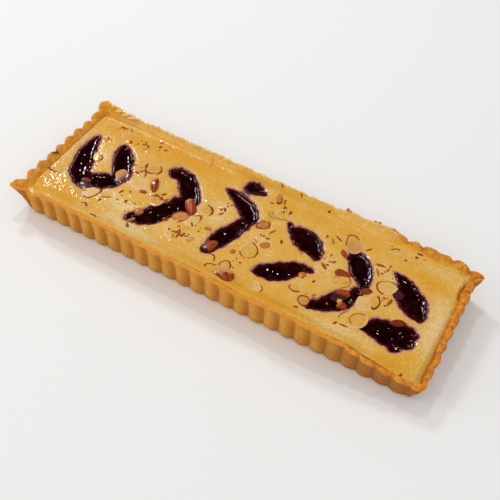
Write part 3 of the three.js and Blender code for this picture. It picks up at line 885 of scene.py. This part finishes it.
def custard_block():
    """Custard from wall to wall, its edges sunk a little into the pastry."""
    bm = bmesh.new()
    layers = painted(bm, "shore", "tone", "hollow", "scorch")
    bmesh.ops.create_grid(bm, x_segments=COLUMNS, y_segments=ROWS, size=1)
    for vert in bm.verts:
        spread_x, spread_y = vert.co.x, vert.co.y
        front = FRONT_INSET + FRONT_RIGHT_MORE * smooth(spread_x, 0.5, 0.7)
        x = spread_x * (LENGTH / 2 - (LEFT_INSET if spread_x < 0 else RIGHT_INSET))
        y = spread_y * (WIDTH / 2 - (front if spread_y < 0 else BACK_INSET))
        level, away = plain_level(x, y), from_plum(x, y)
        vert.co = Vector((x, y, custard_level(x, y, level, away)))
        vert[layers["shore"]] = away
        vert[layers["tone"]] = patch_tone(x, y)
        vert[layers["hollow"]] = smooth(y + 0.8 * wavy((x, y, 0), 14, 22), 51, 52.5) * trough_at(x)
        vert[layers["scorch"]] = 0.8 * smooth(pocket_depth(x, y), 0.6, 0.95) * smooth(x, 168, 170)

    def sink(vert):
        vert.co.z = FLOOR + BED
        vert.co.x *= 1 - BOTTOM_INSET / (LENGTH / 2)
        vert.co.y *= 1 - BOTTOM_INSET / (WIDTH / 2)

    close_below(bm, sink)
    return bm


finish_piece("custard_baked", custard_block(), custard_skin, "custard", "custard")

# ---- plum slices ----

# Slices that touch are one run of fruit and juice.
RUNS = {
    "plum_1_cooked": ("plum_1_foot", "plum_1_left", "plum_1_right"),
    "plum_2_cooked": ("plum_2_lower", "plum_2_upper"),
    "plum_3_cooked": ("plum_3_lower", "plum_3_upper"),
    "plum_3_loose_cooked": ("plum_3_loose",),
    "plum_4_upper_cooked": ("plum_4_upper",),
    "plum_4_lower_cooked": ("plum_4_lower",),
    "plum_5_cooked": ("plum_5_lower", "plum_5_upper"),
    "plum_6_upper_cooked": ("plum_6_upper",),
    "plum_6_lower_cooked": ("plum_6_lower",),
}
PLUM_STEP = 0.7
PLUM_SKIRT = 1.2  # how far the fruit reaches under the custard's edge
PLUM_DEPTH = 3.5  # of the fruit's hidden side
SHEET_MARGIN = 3  # of the uncut sheet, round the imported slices


def plum_run(slices):
    """A sheet over the run, cut to its outline and closed underneath."""
    low_x, low_y = (min(shores[name].low[i] for name in slices) - SHEET_MARGIN for i in (0, 1))
    high_x, high_y = (max(shores[name].high[i] for name in slices) + SHEET_MARGIN for i in (0, 1))
    bm = bmesh.new()
    layers = painted(bm, "edge", "puckered")
    bmesh.ops.create_grid(bm, x_segments=round((high_x - low_x) / PLUM_STEP),
                          y_segments=round((high_y - low_y) / PLUM_STEP), size=1)
    outside = []
    for vert in bm.verts:
        x = low_x + (vert.co.x + 1) / 2 * (high_x - low_x)
        y = low_y + (vert.co.y + 1) / 2 * (high_y - low_y)
        away = from_plum(x, y, slices)
        vert.co = Vector((x, y, plum_level(x, y, plain_level(x, y), away)))
        vert[layers["edge"]] = 1 - smooth(-away, 0.2, 3 + 2 * wavy((x, y, 0), 6, 25))
        vert[layers["puckered"]] = min(between(PUCKERED, x), FINEST_PUCKERS)
        if away > PLUM_SKIRT:
            outside.append(vert)
    bmesh.ops.delete(bm, geom=outside, context="VERTS")

    def sink(vert):
        vert.co.z -= PLUM_DEPTH

    close_below(bm, sink)
    return bm


for name, slices in RUNS.items():
    finish_piece(name, plum_run(slices), plum_flesh, "plum", *slices)

# ---- almonds ----


def turn_about(x, y, turn):
    """A flat vector turned this many radians."""
    return x * math.cos(turn) - y * math.sin(turn), x * math.sin(turn) + y * math.cos(turn)


def ahead_of(x, y, bearing):
    """How far a flat vector reaches towards a bearing."""
    return turn_about(x, y, -math.radians(bearing))[0]


def bearing_gap(x, y, bearing):
    """How many degrees a flat direction is off a bearing, both counted from +X towards +Y."""
    return abs((math.degrees(math.atan2(y, x)) - bearing + 180) % 360 - 180)


def lie_of(name):
    """Where a packed almond lies: middle, heading, length, width and height."""
    points = [vert.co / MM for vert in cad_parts[name].data.vertices]
    low, high = (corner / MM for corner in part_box(name))
    middle = sum(points, Vector()) / len(points)
    xx = sum((p.x - middle.x) ** 2 for p in points)
    yy = sum((p.y - middle.y) ** 2 for p in points)
    xy = sum((p.x - middle.x) * (p.y - middle.y) for p in points)
    heading = 0.5 * math.atan2(2 * xy, xx - yy)
    runs = [turn_about(p.x - middle.x, p.y - middle.y, -heading) for p in points]
    length, width = (max(run[i] for run in runs) - min(run[i] for run in runs) for i in (0, 1))
    pointed = sum(run[0] ** 3 for run in runs)
    if pointed < 0:
        heading += math.pi
    return middle, heading, length, width, high.z - low.z


# One row to a flake. Its skin is left along its edge over an arc: bearing of its middle, half
# width in degrees and depth of colour. tone goes from cream over tan to brown skin, stain is plum
# juice, and a stain with a bearing lies on that side only.
FlakeLook = namedtuple("FlakeLook", "skin_at skin_half skin tone stain stain_at",
                       defaults=(0, None))
FLAKE_LOOKS = [FlakeLook(*row) for row in (
    (265, 75, 0.9, 0.02), (15, 85, 1, 0.08), (0, 60, 0.5, 0.35, 0.92), (320, 140, 1, -1),
    (160, 70, 0.3, 0.12, 0.85, 350), (300, 60, 0.7, 0.05), (80, 50, 0.8, 0), (10, 50, 0.9, 0.15),
    (250, 110, 0.9, 0.04), (0, 0, 0, -1), (100, 60, 0.8, 0.1, 0.1), (0, 180, 0.7, 0.3, 0.1),
    (70, 45, 0.8, -1), (40, 65, 1, 0.03), (170, 110, 1, 0.03), (110, 130, 0.9, 0.12),
    (0, 180, 0.75, 0.4, 0.15), (270, 70, 0.6, 0), (350, 90, 0.8, 0.35, 0.1), (340, 125, 1, 0.02),
    (10, 65, 1, -1), (255, 85, 1, 0.05), (0, 180, 0.8, 0.2, 0.1), (150, 85, 1, 0.05, 0.22, 290),
    (0, 0, 0, 0.95), (60, 120, 0.6, 0.04), (0, 180, 0.3, 0.9, 0.95, 280),
    (0, 180, 0.4, 0.85, 0.62), (0, 95, 1, 0.06), (0, 180, 0.25, -1), (150, 120, 1, -0.6),
    (0, 180, 0.3, 0.3, 0.93), (160, 90, 0.8, 0.02), (0, 0, 0, 1, 0.62), (120, 70, 1, 0.03),
)]
SKIN_EDGE, SKIN_FADE = 1.45, 12  # width of the brown line, and the degrees in which it ends
PALE_EDGE = 3.6  # width of a flake's paler border
FLAKE_TOP, FLAKE_UNDER = 0.25, 0.5  # how far a flake reaches above and below the custard's skin
FLAKE_TIP = 0.025  # how much it slopes
FLAKE_TAPER = 0.22  # an almond is this much narrower at its point
SEEDS = 50  # each almond has its own place in the noise, from 0 to this


def flake(name, look, rng):
    """A thin almond slice bedded in the custard."""
    middle, heading, length, width, _ = lie_of(name)
    bm = bmesh.new()
    bmesh.ops.create_uvsphere(bm, u_segments=36, v_segments=12, radius=1)
    skin, tone, stain, pale = painted(bm, "skin", "tone", "stain", "pale").values()
    seed = rng.uniform(0, SEEDS)
    tip_x, tip_y = rng.uniform(-FLAKE_TIP, FLAKE_TIP), rng.uniform(-FLAKE_TIP, FLAKE_TIP)
    middle_top, _ = top_at(middle.x, middle.y)
    for vert in bm.verts:
        around = math.atan2(vert.co.y, vert.co.x)
        out = math.hypot(vert.co.x, vert.co.y) ** 0.6
        uneven = 1 + 0.09 * wavy((math.cos(around), math.sin(around), seed), 0.8)
        along = out * math.cos(around) * length / 2 * uneven
        aside = out * math.sin(around) * (1 - FLAKE_TAPER * math.cos(around)) * width / 2 * uneven
        dx, dy = turn_about(along, aside, heading)
        x, y = middle.x + dx, middle.y + dy
        top, away = top_at(x, y)
        top = (top + middle_top + plain_level(x, y)) / 3 + tip_x * dx + tip_y * dy
        rise = FLAKE_TOP * (1 - 0.5 * out ** 6) if vert.co.z > -SAME_POINT else -FLAKE_UNDER
        edge = smooth(out, 1 - 2 * SKIN_EDGE / width, 1 - SKIN_EDGE / width)
        off = bearing_gap(dx, dy, look.skin_at)
        arc = 1 - smooth(off, look.skin_half - SKIN_FADE, look.skin_half + SKIN_FADE)
        if look.skin_half == 180:
            arc = 1
        vert[skin] = look.skin * edge * arc * (0.8 + 0.35 * wavy((x, y, seed), 3))
        vert[tone] = look.tone
        if look.tone < 0.2:
            vert[pale] = 0.75 * smooth(out, 1 - PALE_EDGE / width, 1) * (1 - arc * look.skin)
        side = 1
        if look.stain_at is not None:
            side = 0.25 + 0.75 * smooth(ahead_of(dx, dy, look.stain_at) / length, -0.25, 0.05)
        soaked = 0.4 if look.stain_at is None else 0.1
        vert[stain] = max(look.stain * side, soaked * (1 - smooth(away, -3, -0.5)))
        vert.co = Vector((x, y, top + rise))
    finish_piece(name + "_sliced", bm, almond_flesh, "almond", name)


# One row to a chunk. Its pale cut face and its juicy end are towards a bearing; share is how much
# of it they take.
ChunkLook = namedtuple("ChunkLook", "cut_at cut_share stain_at stain_share ridged")
CHUNK_LOOKS = [ChunkLook(*row) for row in (
    (150, 0.03, None, 0, 0.5), (30, 0, 240, 0.27, 0.3), (115, 0.38, None, 0, 1),
    (150, 0.2, 280, 0.12, 0.4), (180, 0.25, None, 0, 1),
)]
RIBS = 11  # ridges round a whole almond's skin
CHUNK_RISE = 0.62  # a chunk stands this share of its height above the custard


def chunk(name, look, rng):
    """A thick piece of almond, skin up, ribbed, cut pale on one side."""
    middle, heading, length, width, height = lie_of(name)
    bm = bmesh.new()
    bmesh.ops.create_uvsphere(bm, u_segments=40, v_segments=28, radius=1)
    cut, stain, ridge = painted(bm, "cut", "stain", "ridge").values()
    middle_top, _ = top_at(middle.x, middle.y)
    seed = rng.uniform(0, SEEDS)
    for vert in bm.verts:
        x, y, z = vert.co
        ribs = math.sin(RIBS * math.atan2(y, z + 0.4) + 2.5 * x + 1.5 * wavy((x, y, seed), 0.7))
        full = 1 + 0.05 * look.ridged * ribs * (1 - x * x) + 0.06 * wavy((x, y, z + seed), 0.8)
        along = x * abs(x) ** -0.15 * length / 2 if x else 0
        aside = y * (1 - FLAKE_TAPER * x) * width / 2
        dx, dy = turn_about(along * full, aside * full, heading)
        rise = max(z, -0.3) * full * height * CHUNK_RISE
        vert[ridge] = look.ridged * smooth(ribs, -0.4, -1) * (1 - x * x)
        share = ahead_of(dx, dy, look.cut_at) / (length + width) * 4 + 0.25 * z
        limit = 1 - 2 * look.cut_share
        vert[cut] = smooth(share + 0.3 * wavy((x, y, z + seed), 0.5), limit - 0.1, limit + 0.15)
        if share > limit:
            rise -= 0.35 * (share - limit) * height
        if look.stain_at is not None:
            share = ahead_of(dx, dy, look.stain_at) / (length + width) * 4
            limit = 1 - 2 * look.stain_share
            vert[stain] = smooth(share, limit - 0.15, limit + 0.15)
        vert.co = Vector((middle.x + dx, middle.y + dy, middle_top + rise))
    finish_piece(name + "_roasted", bm, roast_skin, "almond_skin", name)


def numbered(prefix):
    """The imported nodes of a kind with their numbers, in order."""
    names = [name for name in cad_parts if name.startswith(prefix)]
    return sorted((int(name.removeprefix(prefix)), name) for name in names)


for number, name in numbered("almond_flake_"):
    flake(name, FLAKE_LOOKS[number - 1], random.Random(100 + number))
for number, name in numbered("almond_half_"):
    chunk(name, CHUNK_LOOKS[number - 1], random.Random(200 + number))

# ---- broken almond, slivers and crumbs ----

BIT_UNDER = 0.5  # how far a bit is pressed in
SLIVER_WIDTH, SLIVER_RISE = 1.6, 0.5
CRUMB_SIZES, CRUMB_SHARE, CRUMB_RISE = (1.5, 3.4), 0.7, 0.35  # length, width to length, height
CURL_STEPS = 12
# Broken bits: middle, length, width, heading, tone, stain, how far they stand up.
CHIPS = [
    (-170.7, -25, 9, 7, 60, 0.3, 0.05, 1.2), (-136, -22.6, 8.4, 5.5, 20, 0.8, 0.7, 0.9),
    (-89.6, -9.5, 6.8, 3.9, 20, 0.9, 0.1, 0.6), (-81, -28.6, 8.4, 6.2, 40, 0.25, 0.4, 0.6),
    (-81, -39, 7.6, 3.5, 75, 0.3, 0.45, 0.5), (21, -5.4, 7.8, 6.6, 50, 0.45, 0, 0.6),
    (58.4, -15.4, 7.3, 6.4, 120, 0.6, 0.1, 0.8), (10.5, 22, 14.5, 6.6, 70, 0, 0, 0.25),
    (3, -25, 5, 4, 80, 0.65, 0, 0.5), (-25, -15, 7, 4, 10, 0.55, 0.1, 0.5),
    (-31, -32, 6, 5, 70, 0.2, 0, 0.5), (77, 21, 8, 5, 140, 0.85, 0.15, 0.6),
    (93, -22, 5, 4, 70, 0.05, 0, 1.6), (-61, 51, 9, 4, 100, 0.2, 0, 0.3),
    (-86, -22, 6, 4, 30, 0.05, 0, 0.3), (-141, -1, 5, 4, 30, 0.2, 0.1, 0.4),
    (30, -46, 7, 9, 20, 0, 0, 0.45), (-40, -24, 7, 3, 20, 0.1, 0, 0.4),
]
# Dark or brown slivers of skin: middle, length, heading, tone, thickness.
SLIVERS = [
    (-57, -25, 3, 100, 0.9, 1), (-48, -21, 4, 40, 0.9, 1), (-38, -18, 5, 130, 1, 1.1),
    (-24, 10, 5, 110, 0.9, 1.2), (-22, 18, 4, 60, 0.8, 0.9), (17, 34, 3.5, 110, 0.9, 1.3),
    (22, 36, 5, 75, 0.9, 1.2), (3, 57.5, 5, 125, 1, 0.9), (4, 38, 4, 10, 0.8, 1.2),
    (15, 39, 5, 95, 0.9, 1.2), (12, 46, 3.5, 100, 0.8, 1.3), (21, 57, 6, 130, 0.9, 0.8),
    (38, 10, 6, 110, 0.85, 1.2), (30, 5, 5, 115, 0.9, 1.5), (19, 10, 8, 70, 0.7, 1.3),
    (64, 28, 7, 125, 0.75, 1.2), (58, 30, 4, 105, 0.85, 1.2), (69, 1, 8, 140, 0.85, 1.7),
    (69, -17, 3.5, 70, 0.85, 1.3), (68, -46, 4, 30, 0.85, 1.6), (92, 36, 6, 50, 1, 0.9),
    (106, 26, 9, 10, 0.8, 1.6), (107, 18, 8, 125, 0.7, 1.1), (126, -4, 8, 85, 0.8, 1.6),
    (102, 57, 4, 95, 0.9, 1), (128, 53, 4, 5, 1, 0.9), (127, 49, 3, 10, 0.9, 1.6),
    (157, -56, 3, 60, 0.9, 1.2), (99, -43, 4, 70, 0.9, 1.2), (105, -42, 8, 5, 1, 0.8),
    (48, 54, 3, 60, 1, 1), (67, 33, 8, 155, 1, 0.8), (-116, 38, 5, 130, 0.85, 1.2),
    (-146, 46, 4, 120, 0.85, 1), (-139, 47, 5, 150, 0.75, 0.9), (-131, 34, 5, 110, 0.85, 1.6),
    (-107, 43, 4, 110, 0.9, 1.6), (-101, 42, 4, 20, 0.9, 1.1), (-109, 48, 4, 20, 0.9, 1.1),
    (-120, 41, 3, 60, 0.8, 1), (-104, -19, 5, 80, 1, 1.1), (-98, -15, 3, 140, 0.9, 1),
    (-95, -25, 3, 20, 0.8, 1), (-79, -47, 6, 130, 0.85, 1.8), (-113, -36, 4, 90, 0.85, 1.2),
    (-100, 10, 8, 130, 0.8, 1.2), (-104, 17, 6, 100, 0.9, 1.6), (-72, -9, 8, 20, 0.85, 1.3),
    (-74, -3, 5, 60, 0.85, 1.3), (-108, 6, 6, 40, 0.85, 1.4), (-27, 24, 4, 60, 0.7, 0.9),
    (-24, 5, 4, 80, 0.8, 1.2), (20, -16, 3, 30, 0.8, 0.9), (113, 29, 3, 80, 0.8, 1),
    (69, 14, 3, 90, 0.7, 0.9), (74, 9, 3, 30, 0.85, 1.2), (2, -52, 3, 30, 0.7, 0.9),
]
# Crumbs lie in groups: middle, spread, how many.
CRUMBS = [
    (-42, -32, 6, 5, 30), (-145, 45, 5, 4, 6), (-26, 12, 5, 7, 8), (-103, 12, 6, 6, 8),
    (-118, 38, 14, 8, 8), (-75, -6, 6, 5, 9), (-34, -15, 6, 6, 6), (14, 38, 8, 8, 8),
    (18, 0, 9, 8, 8), (68, 5, 10, 10, 7), (110, 22, 8, 6, 7), (122, -4, 6, 6, 8),
    (-95, -30, 12, 10, 6), (40, 8, 10, 5, 4), (-150, 28, 6, 6, 6), (10, -33, 8, 6, 5),
    (120, 45, 22, 8, 5), (-60, -25, 8, 5, 5), (75, -30, 14, 8, 4), (-140, -10, 5, 8, 5),
]
# Curled threads of skin: middle, radius, first bearing, sweep, thickness.
CURLS = [
    (-105.5, -59, 5, 45, 85, 1.1), (-9.5, -40.5, 4.8, -15, 130, 1.1), (-40, 0, 9, -20, 75, 1.2),
    (-98, 17.5, 6, 165, 175, 1), (-164, -21, 9.5, 215, 95, 0.8), (-77, -13, 6, 30, 110, 1),
    (14, 31, 8, 195, 80, 0.7), (76, 37, 5.5, 30, 130, 0.7), (82, 4, 12, 290, 40, 0.7),
    (108, -36, 9, 120, 70, 0.7),
]


def lay_bit(bm, spot, size, heading, rise, rng, fine):
    """One small lump of almond, pressed a little into whatever lies there."""
    verts = bmesh.ops.create_icosphere(bm, subdivisions=fine, radius=1)["verts"]
    top, _ = top_at(*spot)
    seed = rng.uniform(0, SEEDS)
    for vert in verts:
        rough = 1 + 0.22 * wavy(vert.co + Vector((seed, 0, 0)), 0.9)
        along, aside = vert.co.x * size[0] / 2 * rough, vert.co.y * size[1] / 2 * rough
        dx, dy = turn_about(along, aside, math.radians(heading))
        height, _ = top_at(spot[0] + dx, spot[1] + dy) if fine > 1 else (top, 0)
        reach = rise if vert.co.z > 0 else BIT_UNDER
        vert.co = Vector((spot[0] + dx, spot[1] + dy, height + reach * vert.co.z * rough))
    return verts


def broken_bits():
    """Chips of almond, some with a rim of skin."""
    bm = bmesh.new()
    layers = painted(bm, "skin", "tone", "stain")
    rng = random.Random(31)
    for x, y, length, width, heading, tone, stain, rise in CHIPS:
        verts = lay_bit(bm, (x, y), (length, width), heading, rise, rng, 3)
        set_all(layers, verts, tone=tone, stain=stain)
        for vert in verts:
            side = math.hypot(vert.co.x - x, vert.co.y - y) / max(length, width) * 2
            vert[layers["skin"]] = 0.6 * smooth(side, 0.75, 0.95) * (tone > 0.1)
    return bm


def slivers_and_crumbs():
    """Slivers of skin, and groups of brown crumbs."""
    bm = bmesh.new()
    layers = painted(bm, "skin", "tone", "stain")
    rng = random.Random(32)
    for x, y, length, heading, tone, thick in SLIVERS:
        verts = lay_bit(bm, (x, y), (length, SLIVER_WIDTH * thick), heading, SLIVER_RISE, rng, 2)
        set_all(layers, verts, tone=tone, skin=0.5 * smooth(tone, 0.85, 1))
    for x, y, spread_x, spread_y, count in CRUMBS:
        for _ in range(count):
            spot = (x + rng.gauss(0, spread_x / 2), y + rng.gauss(0, spread_y / 2))
            size = rng.uniform(*CRUMB_SIZES)
            heading = rng.uniform(0, 180)
            verts = lay_bit(bm, spot, (size, size * CRUMB_SHARE), heading, CRUMB_RISE, rng, 1)
            set_all(layers, verts, tone=rng.uniform(0.55, 1))
    return bm


def skin_curls():
    """Threads of almond skin: a small ring spun part of the way round, then laid down."""
    bm = bmesh.new()
    layers = painted(bm, "skin", "tone", "stain")
    for x, y, radius, start, sweep, thick in CURLS:
        upright = Matrix.Translation((radius, 0, 0)) @ Matrix.Rotation(math.pi / 2, 4, "X")
        ring = bmesh.ops.create_circle(bm, segments=6, radius=thick / 2, cap_ends=True,
                                       matrix=upright)["verts"]
        swing = Matrix.Rotation(math.radians(start), 3, "Z")
        bmesh.ops.rotate(bm, verts=ring, cent=(0, 0, 0), matrix=swing)
        faces = list({face for vert in ring for face in vert.link_faces})
        before = set(bm.verts)
        bmesh.ops.spin(bm, geom=ring + faces, cent=(0, 0, 0), axis=UP, angle=math.radians(sweep),
                       steps=CURL_STEPS)
        verts = ring + [vert for vert in bm.verts if vert not in before]
        for vert in verts:
            away = min(bearing_gap(vert.co.x, vert.co.y, end) for end in (start, start + sweep))
            thin = 0.35 + 0.65 * smooth(away, 0, sweep / 3)
            ring_out = math.hypot(vert.co.x, vert.co.y)
            fat = (radius + (ring_out - radius) * thin) / ring_out
            vert.co = Vector((x + vert.co.x * fat, y + vert.co.y * fat, vert.co.z * thin))
            vert.co.z += top_at(vert.co.x, vert.co.y)[0] + 0.1
        set_all(layers, verts, tone=1, skin=0.9)
    bmesh.ops.recalc_face_normals(bm, faces=bm.faces)
    return bm


finish_piece("almond_broken", broken_bits(), almond_flesh, "almond")
finish_piece("almond_slivers", slivers_and_crumbs(), almond_flesh, "almond_skin")
finish_piece("almond_curls", skin_curls(), almond_flesh, "almond_skin")

# ---- setting ----


def pale_card():
    """Matt white card."""
    material, tree = start_material("pale_card")
    surface(tree, {"Base Color": "#fbfaf8", "Roughness": 0.9, "Specular IOR Level": 0.1})
    return material


FLOOR_REACH, FLOOR_GAP = 3, 0.0003  # metres
bm = bmesh.new()
bmesh.ops.create_grid(bm, x_segments=1, y_segments=1, size=FLOOR_REACH)
floor = shown("floor", bm, pale_card())
floor.location.z = -FLOOR_GAP


def softbox(name, place, size, power, glossy=True):
    """A square area light at a place in millimetres that faces the tart."""
    light = bpy.data.lights.new(name, "AREA")
    light.size = size * MM
    light.energy = power
    lamp = put(name, light)
    aim = (-Vector(place)).to_track_quat("-Z", "Y").to_matrix().to_4x4()
    lamp.matrix_world = Matrix.Translation(Vector(place) * MM) @ aim
    lamp.visible_glossy = glossy


softbox("window", (-1340, 1000, 1390), 280, 9)
softbox("skylight", (-690, 760, 1717), 130, 4)
softbox("side", (-1300, -700, 800), 900, 4, glossy=False)
softbox("fill", (900, -1400, 1300), 1400, 5.5, glossy=False)

ROOM_LIGHT = 0.56
world = bpy.data.worlds.new("studio")
world.use_nodes = True
sky = world.node_tree.nodes["Background"].inputs
sky["Color"].default_value = (1, 1, 1, 1)
sky["Strength"].default_value = ROOM_LIGHT
world.cycles_visibility.glossy = False
bpy.context.scene.world = world
bpy.context.scene.view_settings.view_transform = "Standard"
